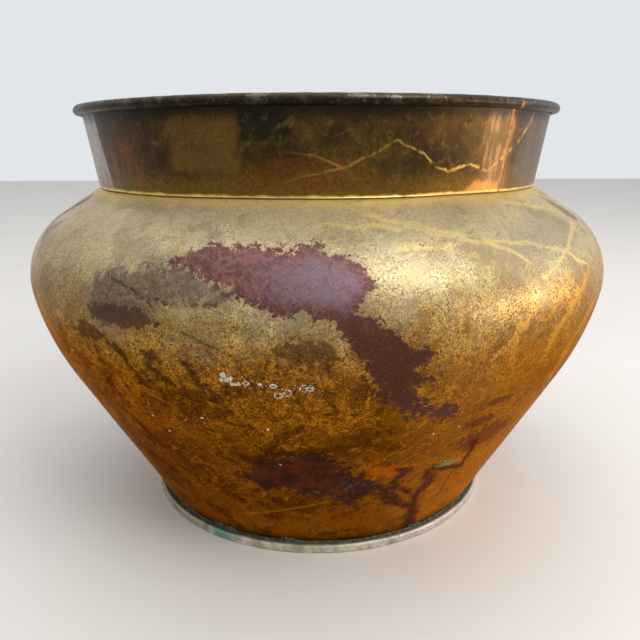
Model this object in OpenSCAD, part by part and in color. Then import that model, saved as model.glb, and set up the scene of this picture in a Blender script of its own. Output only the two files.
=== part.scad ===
// Sheet-brass planter pot: a wired rim on a flared collar, a full-shouldered body, and a
// base disc held on by a folded seam. Each piece of sheet is a ribbon of even thickness
// that follows a centre line, drawn as [radius, height] and spun about the upright axis.
// The floor is at z = 0 and the pot's axis is the z axis.

/* [Sheet] */
// Thickness of the brass sheet
sheet_t = 1.0; // [0.9:0.05:1.1]
// Room between two layers of sheet in a folded or lapped joint
lap_gap = 0.1; // [0.05:0.05:0.15]

/* [Rim] */
// Overall height, from the floor to the top of the rolled rim
pot_h = 268.5; // [262:0.5:276]
// Outside diameter of the rolled rim
rim_d = 318.4; // [314:0.2:324]
// Diameter of the wire inside the rolled rim
wire_d = 3.7; // [3:0.1:4.5]
// How far round the wire the sheet is curled, in degrees
curl_turn = 300; // [240:5:305]

/* [Collar] */
// Outside diameter of the collar's wall, run down to the height of the crease
collar_d = 294; // [292:0.5:295]
// Turn of the collar's lower edge, out over the shoulder, in degrees
toe_turn = 50; // [20:5:60]
// Height of the lap that stands up inside the collar
lap_h = 10; // [7:0.5:14]
// Width of the brazed seam up the collar
seam_w = 1.6; // [1:0.1:3]
// Where the brazed seam is, in degrees about the axis
seam_angle = -47; // [-180:1:180]

/* [Body] */
// Diameter of the body at its widest
belly_d = 388.5; // [384:0.5:394]
// Height of the widest place
belly_z = 164; // [162:0.5:166]
// Diameter of the shoulder at the crease
crease_d = 296; // [295:0.5:298]
// Height of the crease between shoulder and collar
crease_z = 218; // [216:0.5:220]
// Radius of the shoulder's curve
shoulder_round = 45; // [42:1:47]
// Radius of the long curve from the shoulder down to the flank
belly_round = 160; // [150:5:170]
// Lean of the straight flank, in degrees from upright
flank_lean = 29.2; // [28.8:0.1:29.6]
// Diameter of the flank just above the foot
flank_d = 238; // [237:0.5:239]
// Height at which flank_d is measured
flank_z = 5; // [4.5:0.1:5.5]

/* [Foot] */
// Outside diameter of the folded seam round the foot
foot_d = 248; // [247.5:0.5:250]
// Height of the folded seam
seam_h = 5.8; // [5.6:0.1:6.4]
// Diameter at which the base's flat resting ring begins
rest_d = 224; // [200:1:228]
// How far the middle of the base is set up off the floor
base_rise = 2; // [1.5:0.1:4]

/* [Hidden] */

$fn = 180;
half_t = sheet_t / 2;
layer = sheet_t + lap_gap;    // spacing of two layers of sheet, centre to centre
touch = 0.02;                 // clearance of a solder or braze fillet from the sheet
tight_step = 12;              // degrees between points in a tight bend
wide_step = 3;                // degrees between points in a wide curve
cut = 20;                     // how far a cutting block runs past what it cuts

// Rim: the curl lies round the wire
curl_r = wire_d / 2 + lap_gap / 2 + half_t;
bead_r = curl_r + half_t;
curl_c = [rim_d / 2 - bead_r, pot_h - bead_r];

// Collar: a straight wall that runs up to the inner side of the curl
collar_p = [collar_d / 2 - half_t, crease_z];
to_curl = curl_c - collar_p;
collar_lean = atan2(to_curl[0], to_curl[1]) - asin(curl_r / norm(to_curl));
wall_up = [sin(collar_lean), cos(collar_lean)];
wall_out = [cos(collar_lean), -sin(collar_lean)];

// Shoulder: from the crease, a straight line that runs onto the shoulder's curve
crease_p = [crease_d / 2, crease_z];
shoulder_c = [belly_d / 2 - shoulder_round, belly_z];
from_crease = shoulder_c - crease_p;
shoulder_slope = asin(shoulder_round / norm(from_crease)) + atan2(from_crease[0], -from_crease[1]);
shoulder_up = [-sin(shoulder_slope), cos(shoulder_slope)];
shoulder_out = [cos(shoulder_slope), sin(shoulder_slope)];

// Flank and belly: the belly's curve touches both the flank and the shoulder's curve
flank_p = [flank_d / 2, flank_z];
flank_up = [sin(flank_lean), cos(flank_lean)];
flank_out = [cos(flank_lean), -sin(flank_lean)];
belly_reach = belly_round - shoulder_round;
belly_lean = flank_lean - acos((belly_round + (shoulder_c - flank_p) * flank_out) / belly_reach);
belly_c = shoulder_c + belly_reach * [-cos(belly_lean), sin(belly_lean)];

// Neck joint: the body's mouth is turned up inside the collar
neck_bend = 1.0;
lap_p = collar_p - layer * wall_out;
neck_bend_c = meet(crease_p + (neck_bend - half_t) * shoulder_out, shoulder_up,
                   lap_p + neck_bend * wall_out, wall_up);
lap_top = lap_p + lap_h * wall_up;
toe_r = 1.6;
toe_c = meet(crease_p + (toe_r + half_t + lap_gap) * shoulder_out, shoulder_up,
             collar_p + toe_r * wall_out, wall_up);
braze_leg = layer - 2 * touch;

// Foot seam: three upright layers, the base's edge folded in over the body's flange
fold_x = foot_d / 2 - half_t;
flange_x = fold_x - layer;
fold_top = seam_h - half_t - layer;
hem_h = 1.2;
foot_bend = 1.0;
flange_bend = 0.9;
flange_z = layer + half_t;
wall_bend = 1.0;
wall_bend_z = flange_z + wall_bend;
wall_bend_c = [flank_p[0] + (wall_bend_z - flank_z) * tan(flank_lean)
               + (wall_bend - half_t) / cos(flank_lean), wall_bend_z];

// Base: the step from the resting ring up to the raised middle
step_r = 3;
step_lean = 30;
step_run = 2 * step_r * sin(step_lean)
           + (base_rise - 2 * step_r * (1 - cos(step_lean))) / tan(step_lean);

// Solder run round the inside of the base
solder_h = 3;
solder_w = 3.5;
solder_hollow = 0.12;

// Where the line through p along u meets the line through q along v
function meet(p, u, q, v) =
    let (k = ((q[0] - p[0]) * v[1] - (q[1] - p[1]) * v[0]) / (u[0] * v[1] - u[1] * v[0]))
    p + k * u;

// Points of an arc about c from angle a0 to angle a1, with both ends
function arc(c, r, a0, a1, step) =
    let (n = max(1, ceil(abs(a1 - a0) / step)))
    [for (i = [0 : n]) let (a = a0 + (a1 - a0) * i / n) c + r * [cos(a), sin(a)]];

// Unit vector to the left of the way from p to q
function left_of(p, q) = [p[1] - q[1], q[0] - p[0]] / norm(q - p);

// The line moved sideways by d, to its left
function beside(line, d) =
    [for (i = [0 : len(line) - 1])
        let (a = left_of(line[max(i - 1, 0)], line[max(i, 1)]),
             b = left_of(line[min(i, len(line) - 2)], line[min(i + 1, len(line) - 1)]),
             m = (a + b) / norm(a + b))
        line[i] + d / (m * a) * m];

// Outline of a sheet whose centre line is given
function sheet_outline(line) =
    let (right = beside(line, -half_t), left = beside(line, half_t), last = len(line) - 1)
    concat(left, [for (i = [last : -1 : 0]) right[i]]);

// Centre line of the collar: turned-out toe, straight wall, curl round the wire
collar_line = concat(
    arc(toe_c, toe_r, 180 - collar_lean + toe_turn, 180 - collar_lean, tight_step),
    arc(curl_c, curl_r, 180 - collar_lean, 180 - collar_lean - curl_turn, tight_step));

// Centre line of the body: flange, flank, belly, shoulder, lap inside the collar
body_line = concat(
    [[flange_x, fold_top]],
    arc([flange_x - flange_bend, flange_z + flange_bend], flange_bend, 0, -90, tight_step),
    arc(wall_bend_c, wall_bend, 270, 180 - flank_lean, tight_step),
    arc(belly_c, belly_round - half_t, -flank_lean, -belly_lean, wide_step),
    arc(shoulder_c, shoulder_round - half_t, wide_step - belly_lean, shoulder_slope, wide_step),
    arc(neck_bend_c, neck_bend, 180 + shoulder_slope, 180 - collar_lean, tight_step),
    [lap_top]);

// Centre line of the base: raised middle, step, resting ring, fold over the flange
base_line = concat(
    [[0, base_rise + half_t]],
    arc([rest_d / 2 - step_run, base_rise + half_t - step_r], step_r, 90, 90 - step_lean, tight_step),
    arc([rest_d / 2, half_t + step_r], step_r, 270 - step_lean, 270, tight_step),
    arc([fold_x - foot_bend, half_t + foot_bend], foot_bend, -90, 0, tight_step),
    arc([fold_x - layer, fold_top], layer, 0, 180, tight_step),
    [[fold_x - 2 * layer, fold_top - hem_h]]);

module sheet_ring(line) {
    rotate_extrude() polygon(sheet_outline(line));
}

// Block that stands on the collar's seam, as wide as the seam
module seam_block() {
    rotate([0, 0, seam_angle])
        translate([collar_d / 2 - cut, -seam_w / 2, crease_z - cut])
            cube([rim_d / 2 - collar_d / 2 + 2 * cut, seam_w, pot_h - crease_z + 2 * cut]);
}

// Flared strip, open where its two ends meet at the seam
module neck_collar() {
    color("#6b5226")
        difference() {
            sheet_ring(collar_line);
            seam_block();
        }
}

// Brazing metal that fills the collar's seam
module collar_seam() {
    color("#c07a48")
        intersection() {
            sheet_ring(collar_line);
            seam_block();
        }
}

module rim_wire() {
    color("#4c4a46")
        rotate_extrude()
            translate(curl_c)
                circle(d = wire_d);
}

module body_shell() {
    color("#a5803a") sheet_ring(body_line);
}

// Brazing fillet on top of the lap, inside the collar
module collar_braze() {
    heel = lap_top - half_t * wall_out + touch * wall_up;
    color("#c8954e")
        rotate_extrude()
            polygon(concat(
                [heel + braze_leg * wall_out],
                arc(heel + braze_leg * wall_up, braze_leg, 360 - collar_lean, 270 - collar_lean, tight_step)));
}

module base_plate() {
    color("#8c8068") sheet_ring(base_line);
}

// Solder run inside the pot, between the base and the flank
module base_solder() {
    bend = arc(wall_bend_c, wall_bend + half_t + touch, 255, 180 - flank_lean, tight_step);
    low = sheet_t + touch;
    heel = [bend[0][0], low];
    top = bend[len(bend) - 1] + solder_h * flank_up;
    toe = [wall_bend_c[0] - wall_bend - half_t - solder_w, low];
    middle = (top + toe) / 2;
    color("#8e8e8a")
        rotate_extrude()
            polygon(concat([heel], bend, [top, middle + solder_hollow * (heel - middle), toe]));
}

neck_collar();
collar_seam();
rim_wire();
body_shell();
collar_braze();
base_plate();
base_solder();
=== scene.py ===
"""Old sheet-brass planter pot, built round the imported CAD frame. All lengths are in metres.

Each sheet piece is a ribbon of even thickness that follows a centre line, drawn as
(radius, height) and spun about the upright axis, then warped a little as old sheet is.
Azimuth is in degrees from the front of the pot, and grows towards the right.
"""
import math
import random

import bmesh
import bpy
import numpy as np
from mathutils import Euler, Matrix, Vector, noise


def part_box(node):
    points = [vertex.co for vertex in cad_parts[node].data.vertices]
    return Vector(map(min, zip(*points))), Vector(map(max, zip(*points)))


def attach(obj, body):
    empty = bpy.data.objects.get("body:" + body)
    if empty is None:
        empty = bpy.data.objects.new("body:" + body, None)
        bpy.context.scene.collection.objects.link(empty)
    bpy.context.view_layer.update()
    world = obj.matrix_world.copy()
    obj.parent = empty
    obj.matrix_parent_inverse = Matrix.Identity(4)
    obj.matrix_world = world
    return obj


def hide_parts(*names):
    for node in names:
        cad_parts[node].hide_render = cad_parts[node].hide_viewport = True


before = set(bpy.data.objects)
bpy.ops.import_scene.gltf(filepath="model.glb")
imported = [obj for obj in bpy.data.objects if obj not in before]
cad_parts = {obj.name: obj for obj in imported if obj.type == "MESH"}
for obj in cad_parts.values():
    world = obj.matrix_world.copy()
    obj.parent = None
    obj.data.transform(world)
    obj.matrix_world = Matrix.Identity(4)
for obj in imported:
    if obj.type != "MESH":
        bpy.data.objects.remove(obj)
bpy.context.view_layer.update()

MM = 0.001

# ---- sizes, as in the CAD
SHEET = 1.0 * MM
HALF = SHEET / 2
LAP_GAP = 0.1 * MM
LAYER = SHEET + LAP_GAP
WIRE_R = 1.85 * MM
CURL_R = WIRE_R + LAP_GAP / 2 + HALF
BEAD_R = CURL_R + HALF
CURL_TURN = 300
CREASE_Z = 218 * MM
CREASE_R = 148 * MM
COLLAR_R = 147 * MM
TOE_R = 1.6 * MM
TOE_TURN = 50
LAP_H = 10 * MM
SEAM_AZ = 43
SEAM_W = 1.6 * MM
BELLY_Z = 164 * MM
SHOULDER_R = 45 * MM
BELLY_R = 160 * MM
FLANK_LEAN = 29.2
FLANK_R = 119 * MM
FLANK_Z = 5 * MM
NECK_BEND = 1.0 * MM
FLANGE_BEND = 0.9 * MM
WALL_BEND = 1.0 * MM
FOOT_BEND = 1.0 * MM
HEM_H = 1.2 * MM
REST_R = 112 * MM
BASE_RISE = 2 * MM
STEP_R = 3 * MM
STEP_LEAN = 30
SOLDER_H = 3 * MM
SOLDER_W = 3.5 * MM
SPOKES = 480  # columns of faces round a sheet piece
TUCK = 0.2 * MM  # how far crust reaches into what it sits on

# How far the old sheet has moved: in broad dents, in ripples, under the hammer, and up or down
DENT = 0.55 * MM
RIPPLE = 0.22 * MM
HAMMER = 0.07 * MM
LIFT = 0.35 * MM

TOP_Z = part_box("neck_collar")[1].z
RIM_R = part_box("neck_collar")[1].x
WIDEST_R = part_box("body_shell")[1].x
FOOT_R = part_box("base_plate")[1].x
SEAM_TOP_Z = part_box("base_plate")[1].z


# ---- plane geometry
def turned(degrees):
    return Vector((math.cos(math.radians(degrees)), math.sin(math.radians(degrees))))


def arc(centre, radius, start, end, step=0.45 * MM):
    """Points of an arc from angle start to angle end, about one step apart, both ends kept."""
    length = radius * math.radians(abs(end - start))
    count = max(2, math.ceil(length / step), math.ceil(abs(end - start) / 15))
    return [centre + radius * turned(start + (end - start) * i / count) for i in range(count + 1)]


def between(start, end, step):
    """Points strictly between two points, about one step apart."""
    count = max(1, round((end - start).length / step))
    return [start.lerp(end, i / count) for i in range(1, count)]


def meet(p, u, q, v):
    """Where the line through p along u meets the line through q along v."""
    gap = q - p
    return p + (gap.x * v.y - gap.y * v.x) / (u.x * v.y - u.y * v.x) * u


def left_of(p, q):
    along = (q - p).normalized()
    return Vector((-along.y, along.x))


def beside(line, shift):
    """The line moved sideways by shift, to its left."""
    moved = []
    last = len(line) - 1
    for i, point in enumerate(line):
        before = left_of(line[max(i - 1, 0)], line[max(i, 1)])
        after = left_of(line[min(i, last - 1)], line[min(i + 1, last)])
        mean = (before + after).normalized()
        moved.append(point + mean * shift / mean.dot(before))
    return moved


CURL_C = Vector((RIM_R - BEAD_R, TOP_Z - BEAD_R))
COLLAR_P = Vector((COLLAR_R - HALF, CREASE_Z))
TO_CURL = CURL_C - COLLAR_P
COLLAR_LEAN = math.degrees(math.atan2(TO_CURL.x, TO_CURL.y) - math.asin(CURL_R / TO_CURL.length))
WALL_UP = turned(90 - COLLAR_LEAN)
WALL_OUT = turned(-COLLAR_LEAN)

CREASE_P = Vector((CREASE_R, CREASE_Z))
SHOULDER_C = Vector((WIDEST_R - SHOULDER_R, BELLY_Z))
FROM_CREASE = SHOULDER_C - CREASE_P
SHOULDER_SLOPE = math.degrees(math.asin(SHOULDER_R / FROM_CREASE.length)
                              + math.atan2(FROM_CREASE.x, -FROM_CREASE.y))
SHOULDER_UP = turned(90 + SHOULDER_SLOPE)
SHOULDER_OUT = turned(SHOULDER_SLOPE)

FLANK_P = Vector((FLANK_R, FLANK_Z))
FLANK_UP = turned(90 - FLANK_LEAN)
FLANK_OUT = turned(-FLANK_LEAN)
BELLY_REACH = BELLY_R - SHOULDER_R
BELLY_LEAN = FLANK_LEAN - math.degrees(
    math.acos((BELLY_R + (SHOULDER_C - FLANK_P).dot(FLANK_OUT)) / BELLY_REACH))
BELLY_C = SHOULDER_C - BELLY_REACH * turned(-BELLY_LEAN)

LAP_P = COLLAR_P - LAYER * WALL_OUT
LAP_TOP = LAP_P + LAP_H * WALL_UP
NECK_BEND_C = meet(CREASE_P + (NECK_BEND - HALF) * SHOULDER_OUT, SHOULDER_UP,
                   LAP_P + NECK_BEND * WALL_OUT, WALL_UP)
TOE_C = meet(CREASE_P + (TOE_R + HALF + LAP_GAP) * SHOULDER_OUT, SHOULDER_UP,
             COLLAR_P + TOE_R * WALL_OUT, WALL_UP)

FOLD_X = FOOT_R - HALF
FLANGE_X = FOLD_X - LAYER
FOLD_TOP = SEAM_TOP_Z - HALF - LAYER
FLANGE_Z = LAYER + HALF
WALL_BEND_Z = FLANGE_Z + WALL_BEND
WALL_BEND_C = Vector((FLANK_R + (WALL_BEND_Z - FLANK_Z) * math.tan(math.radians(FLANK_LEAN))
                      + (WALL_BEND - HALF) / math.cos(math.radians(FLANK_LEAN)), WALL_BEND_Z))
STEP_RUN = (2 * STEP_R * math.sin(math.radians(STEP_LEAN))
            + (BASE_RISE - 2 * STEP_R * (1 - math.cos(math.radians(STEP_LEAN))))
            / math.tan(math.radians(STEP_LEAN)))


def collar_line():
    toe = arc(TOE_C, TOE_R, 180 - COLLAR_LEAN + TOE_TURN, 180 - COLLAR_LEAN, 0.3 * MM)
    curl = arc(CURL_C, CURL_R, 180 - COLLAR_LEAN, 180 - COLLAR_LEAN - CURL_TURN, 0.5 * MM)
    return toe + between(toe[-1], curl[0], 1.5 * MM) + curl


def body_line():
    step = 2.4 * MM
    flange = arc(Vector((FLANGE_X - FLANGE_BEND, FLANGE_Z + FLANGE_BEND)), FLANGE_BEND, 0, -90)
    wall = arc(WALL_BEND_C, WALL_BEND, 270, 180 - FLANK_LEAN)
    belly = arc(BELLY_C, BELLY_R - HALF, -FLANK_LEAN, -BELLY_LEAN, step)
    shoulder = arc(SHOULDER_C, SHOULDER_R - HALF, -BELLY_LEAN, SHOULDER_SLOPE, step)
    neck = arc(NECK_BEND_C, NECK_BEND, 180 + SHOULDER_SLOPE, 180 - COLLAR_LEAN)
    return ([Vector((FLANGE_X, FOLD_TOP))] + flange + wall + between(wall[-1], belly[0], step)
            + belly + shoulder[1:] + between(shoulder[-1], neck[0], step) + neck
            + between(neck[-1], LAP_TOP, step) + [LAP_TOP])


def base_line():
    middle_z = BASE_RISE + HALF
    centre = Vector((0, middle_z))
    step_top = arc(Vector((REST_R - STEP_RUN, middle_z - STEP_R)), STEP_R, 90, 90 - STEP_LEAN)
    step_foot = arc(Vector((REST_R, HALF + STEP_R)), STEP_R, 270 - STEP_LEAN, 270)
    corner = arc(Vector((FOLD_X - FOOT_BEND, HALF + FOOT_BEND)), FOOT_BEND, -90, 0)
    fold = arc(Vector((FOLD_X - LAYER, FOLD_TOP)), LAYER, 0, 180)
    return ([centre] + between(centre, step_top[0], 6 * MM) + step_top + step_foot
            + between(step_foot[-1], corner[0], 3 * MM) + corner
            + between(corner[-1], fold[0], 1 * MM) + fold
            + [Vector((FOLD_X - 2 * LAYER, FOLD_TOP - HEM_H))])


# ---- the way old sheet has moved
def turn_to(azimuth):
    """Unit vector that points out from the axis at that azimuth."""
    angle = math.radians(azimuth)
    return Vector((math.sin(angle), -math.cos(angle), 0))


def up(height):
    return Vector((0, 0, height))


def at(azimuth, point):
    """Where a (radius, height) point of the drawing stands at that azimuth."""
    return turn_to(azimuth) * point.x + up(point.y)


def wrapped(azimuth):
    return (azimuth + 180) % 360 - 180


def warp(point, fine=0):
    """Where a point of the true round form lies on the real pot. Near pieces move alike. fine
    is 1 where the sheet also shows hammer marks."""
    out = Vector((point.x, point.y, 0))
    if out.length < 1e-6:
        return point
    out.normalize()
    near_axis = min(1.0, point.xy.length / (60 * MM))
    dent = DENT * noise.noise(point * 9 + Vector((3.1, 7.7, 1.3)))
    dent += RIPPLE * noise.noise(point * 27 + Vector((5.9, 2.2, 8.4)))
    dent += fine * HAMMER * noise.noise(point * 85)
    off_floor = min(1.0, point.z / (8 * MM))
    lift = LIFT * off_floor * noise.noise(point * 13 + Vector((9.5, 4.6, 2.8)))
    return point + out * dent * near_axis + up(lift)


# ---- meshes
def new_object(name, vertices, faces, materials, indices=None):
    mesh = bpy.data.meshes.new(name)
    mesh.from_pydata([tuple(v) for v in vertices], [], faces)
    for material in materials:
        mesh.materials.append(material)
    if indices is not None:
        mesh.polygons.foreach_set("material_index", indices)
    mesh.polygons.foreach_set("use_smooth", [True] * len(mesh.polygons))
    mesh.set_sharp_from_angle(angle=math.radians(40))
    mesh.update()
    piece = bpy.data.objects.new(name, mesh)
    bpy.context.scene.collection.objects.link(piece)
    return piece


def plain_place(spot, i, azimuth):
    return warp(spot)


def spun(name, outline, count, materials, pick=None, place=plain_place, start=0, sweep=360):
    """A closed outline of (radius, height) spun about the axis, each vertex moved by place.
    pick gives the material index of the strip that starts at each outline point."""
    closed = sweep == 360
    columns = count if closed else count + 1
    rows = len(outline)
    vertices = []
    places = []
    for j in range(columns):
        azimuth = start + sweep * j / count
        for i, point in enumerate(outline):
            vertices.append(place(at(azimuth, point), i, azimuth))
            places.append((wrapped(azimuth), point.y))
    faces = []
    indices = []
    for j in range(count):
        near = j * rows
        far = ((j + 1) % columns) * rows
        for i in range(rows):
            k = (i + 1) % rows
            faces.append((near + i, far + i, far + k, near + k))
            indices.append(pick[i] if pick else 0)
    if not closed:
        faces.append(tuple(range(rows)))
        faces.append(tuple(reversed(range((columns - 1) * rows, columns * rows))))
        indices += [0, 0]
    piece = new_object(name, vertices, faces, materials, indices)
    tidy_mesh(piece)
    return piece, places


def tidy_mesh(piece):
    """Joins the points that meet on the axis and turns the faces outward."""
    mesh = bmesh.new()
    mesh.from_mesh(piece.data)
    middle = [v for v in mesh.verts if v.co.xy.length < 0.01 * MM]
    bmesh.ops.remove_doubles(mesh, verts=middle, dist=1 * MM)
    if mesh.calc_volume(signed=True) < 0:
        bmesh.ops.reverse_faces(mesh, faces=mesh.faces)
    mesh.to_mesh(piece.data)
    mesh.free()


def ribbon(line, thin_inside=1):
    """Outline of a sheet with this centre line, outer side first, and where the inside starts."""
    outer = beside(line, -HALF)
    inner = beside(line, HALF)
    kept = [p for i, p in enumerate(inner) if i % thin_inside == 0 or i == len(inner) - 1]
    return outer + kept[::-1], len(outer)


def on_line(i, count):
    """The point of the centre line beside point i of its ribbon's outline."""
    return min(i, 2 * count - 1 - i)


def mount(piece, slot, *nodes):
    """Hides the CAD nodes that the piece stands for and sets it on the root body. slot is not used.
    """
    if nodes:
        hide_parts(*nodes)
    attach(piece, "root")


# ---- shader nodes in short calls
DEGREE = 3.0  # millimetres of girth to a degree, near enough anywhere on the body
LOW_DEGREE = 2.6  # the same for steep veins, most of which run low on the flank


def rgb(red, green, blue):
    """A colour as seen on a screen, 0 to 255, as the linear colour that shaders use."""
    def linear(value):
        value = value / 255
        return value / 12.92 if value <= 0.04045 else ((value + 0.055) / 1.055) ** 2.4
    return (linear(red), linear(green), linear(blue), 1.0)


class Value:
    """What a node gives out. Sums and products of values add math nodes."""

    def __init__(self, net, socket):
        self.net = net
        self.socket = socket

    def __add__(self, other):
        return self.net.math("ADD", self, other)

    def __sub__(self, other):
        return self.net.math("SUBTRACT", self, other)

    def __mul__(self, other):
        return self.net.math("MULTIPLY", self, other)

    def __truediv__(self, other):
        return self.net.math("DIVIDE", self, other)

    def __abs__(self):
        return self.net.math("ABSOLUTE", self)

    def ease(self, low, high):
        """0 at low, 1 at high, with soft ends. low may be above high."""
        return self.net.value("MapRange", [("interpolation_type", "SMOOTHSTEP")], Value=self,
                              From_Min=low, From_Max=high)

    def band(self, low, high, soft):
        """1 between low and high, soft at both ends."""
        return self.ease(low - soft, low + soft) * self.ease(high + soft, high - soft)

    def blend(self, a, b):
        """a where this is 0, b where it is 1."""
        return self.net.between("FLOAT", 2, self, a, b)

    def off(self, size):
        """A noise moved to lie about zero and made size times as big."""
        return (self - 0.5) * size


class Net:
    """A material whose nodes are added by short calls. Inputs may be numbers or values.
    azimuth is in degrees and z is the height in millimetres."""

    def __init__(self, name):
        self.material = bpy.data.materials.new(name)
        self.material.use_nodes = True
        self.tree = self.material.node_tree
        self.tree.nodes.clear()
        self.spot = self.out(self.node("TexCoord"), "Object")
        split = self.node("SeparateXYZ", Vector=self.spot)
        turn = self.math("ARCTAN2", self.out(split, "X"), self.out(split, "Y") * -1)
        self.azimuth = turn * math.degrees(1)
        self.z = self.out(split, "Z") * (1 / MM)

    def out(self, node, name=0):
        return Value(self, node.outputs[name])

    def put(self, socket, value):
        """Links a value to a socket, or sets the socket. A colour is given as on a screen."""
        if isinstance(value, Value):
            self.tree.links.new(value.socket, socket)
        elif socket.type == "RGBA":
            socket.default_value = rgb(*value)
        else:
            socket.default_value = value

    def node(self, kind, settings=(), **inputs):
        """A new node, with settings as (name, value) and inputs by name, _ for a space."""
        node = self.tree.nodes.new("ShaderNode" + kind)
        for name, value in settings:
            setattr(node, name, value)
        for name, value in inputs.items():
            self.put(node.inputs[name.replace("_", " ")], value)
        return node

    def math(self, operation, *values, clamp=False):
        node = self.node("Math", [("operation", operation), ("use_clamp", clamp)])
        for socket, value in zip(node.inputs, values):
            self.put(socket, value)
        return self.out(node)

    def between(self, kind, first, amount, a, b):
        """A Mix node of that kind, whose two inputs of it start at first."""
        node = self.node("Mix", [("data_type", kind)])
        self.put(node.inputs[0], amount)
        self.put(node.inputs[first], a)
        self.put(node.inputs[first + 1], b)
        return self.out(node, 0 if kind == "FLOAT" else 2)

    def mix(self, amount, a, b):
        """Colour a where amount is 0, b where it is 1."""
        return self.between("RGBA", 6, amount, a, b)

    def coat(self, colour, cover, share=None):
        """Lays a colour over the tone so far, as much of it as the cover, or its share, says."""
        amount = cover if share is None else cover * share
        self.tone = self.mix(amount, self.tone, colour)

    def value(self, *how, **inputs):
        """What a new node gives out first."""
        return self.out(self.node(*how, **inputs))

    def noise(self, size, detail, rough, shift=0, stretch=1, twist=0):
        """Noise, 0 to 1, whose lumps are about size millimetres across. A stretch under 1 draws
        them out upwards."""
        spot = self.value("Mapping", Vector=self.spot, Location=(shift, shift * 0.7, -shift),
                          Scale=(1, 1, stretch))
        return self.value("TexNoise", Vector=spot, Scale=1 / (size * MM), Detail=detail,
                          Roughness=rough, Distortion=twist)

    def streaks(self, slant, length, width, shift):
        """Noise drawn out over the skin of the pot at a slant from level, in degrees. It fades
        out at the back, where the azimuth starts again."""
        skin = self.value("CombineXYZ", X=self.azimuth * DEGREE, Y=self.z, Z=shift * 10)
        slanted = self.value("VectorRotate", [("rotation_type", "Z_AXIS")], Vector=skin,
                             Angle=math.radians(-slant))
        drawn = self.node("VectorMath", [("operation", "MULTIPLY")])
        self.put(drawn.inputs[0], slanted)
        self.put(drawn.inputs[1], (1 / length, 1 / width, 1))
        noisy = self.value("TexNoise", Vector=self.out(drawn), Scale=1, Detail=4, Roughness=0.6,
                           Distortion=0.7)
        return abs(self.azimuth).ease(172, 160).blend(0.4, noisy)

    def dithered(self, depth, low, high, grain):
        """Cover that grows from none at low to whole at high by filling the grain of the metal."""
        cover = depth.ease(low, high)
        return (grain + cover.off(0.62)).ease(0.47, 0.56)

    def threads(self, size, width, shift):
        """Thin wandering lines, where a noise passes through its middle value."""
        middle = abs(self.noise(size, 3, 0.55, shift, twist=0.9).off(1))
        return middle.ease(width, width * 0.2)

    def block(self, azimuths, heights, soft, waver):
        """A patch with upright sides, soft degrees at its edges."""
        wide = (self.azimuth + waver * 0.3).band(*azimuths, soft)
        tall = (self.z + waver).band(*heights, soft * 2)
        return wide * tall

    def cells(self, size, shift, feature="F1"):
        """How far a spot is from the middle or the edge of its cell, size millimetres across."""
        spot = self.value("Mapping", Vector=self.spot, Location=(shift, shift, shift))
        node = self.node("TexVoronoi", [("feature", feature)], Vector=spot, Scale=1 / (size * MM))
        return self.out(node, "Distance")

    def ramp(self, value, *stops):
        node = self.node("ValToRGB", Fac=value)
        elements = node.color_ramp.elements
        while len(elements) < len(stops):
            elements.new(0.5)
        for element, (place, colour) in zip(elements, stops):
            element.position = place
            element.color = rgb(*colour)
        return self.out(node)

    def curve(self, value, low, high, bottom, top, points):
        """A line through given points, read at value."""
        spread = self.value("MapRange", Value=value, From_Min=low, From_Max=high)
        node = self.node("FloatCurve", Value=spread)
        curve = node.mapping.curves[0]
        places = [((x - low) / (high - low), (y - bottom) / (top - bottom)) for x, y in points]
        while len(curve.points) < len(places):
            curve.points.new(0.5, 0.5)
        for point, place in zip(curve.points, places):
            point.location = place
            point.handle_type = "VECTOR"
        node.mapping.update()
        return self.value("MapRange", [("clamp", False)], Value=self.out(node), To_Min=bottom,
                          To_Max=top)

    def vein(self, points, width, waver, along="azimuth"):
        """A thin line, 1 on it and 0 beside it, through (azimuth, height) points. Its curve is
        read along the azimuth, or along the height where the line is steep."""
        walk, across, share, pairs = self.azimuth, self.z, 1.0, points
        if along == "height":
            walk, across, share = self.z, self.azimuth, LOW_DEGREE
            pairs = sorted((z, a) for a, z in points)
        low, high = pairs[0][0], pairs[-1][0]
        sides = [pair[1] for pair in pairs]
        path = self.curve(walk, low, high, min(sides) - 1, max(sides) + 1, pairs)
        off = abs(across + waver - path)
        line = (off * share).ease(width, width * 0.15)
        return line * walk.band(low, high, 1.0)

    def veins(self, waver, *lines):
        """Several veins, each given as its width, its points and how it is read."""
        return self.most(*[self.vein(points, width, waver, *way) for width, points, *way in lines])

    def patch(self, azimuth, height, half_azimuth, half_height, ragged, soft=0.35):
        """A ragged oval, 1 inside. ragged is a noise of about -1 to 1."""
        a = (self.azimuth - azimuth) / half_azimuth
        b = (self.z - height) / half_height
        far = self.math("SQRT", a * a + b * b)
        return (far + ragged).ease(1 + soft, 1 - soft)

    def most(self, *values):
        top = values[0]
        for value in values[1:]:
            top = self.math("MAXIMUM", top, value)
        return top

    def field(self, name):
        """A float kept on the mesh's vertices."""
        node = self.node("Attribute", [("attribute_type", "GEOMETRY"), ("attribute_name", name)])
        return self.out(node, "Fac")

    def finish(self, roughness, metallic, *bumps, **more):
        """The material, with bumps given as (height in millimetres, value)."""
        shader = self.node("BsdfPrincipled", Base_Color=self.tone, Roughness=roughness,
                           Metallic=metallic, **more)
        socket = shader.inputs["Normal"]
        for size, value in reversed(bumps):
            bump = self.node("Bump", Strength=1.0, Distance=size * MM, Height=value)
            self.put(socket, self.out(bump))
            socket = bump.inputs["Normal"]
        self.node("OutputMaterial", Surface=self.out(shader))
        return self.material
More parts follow.
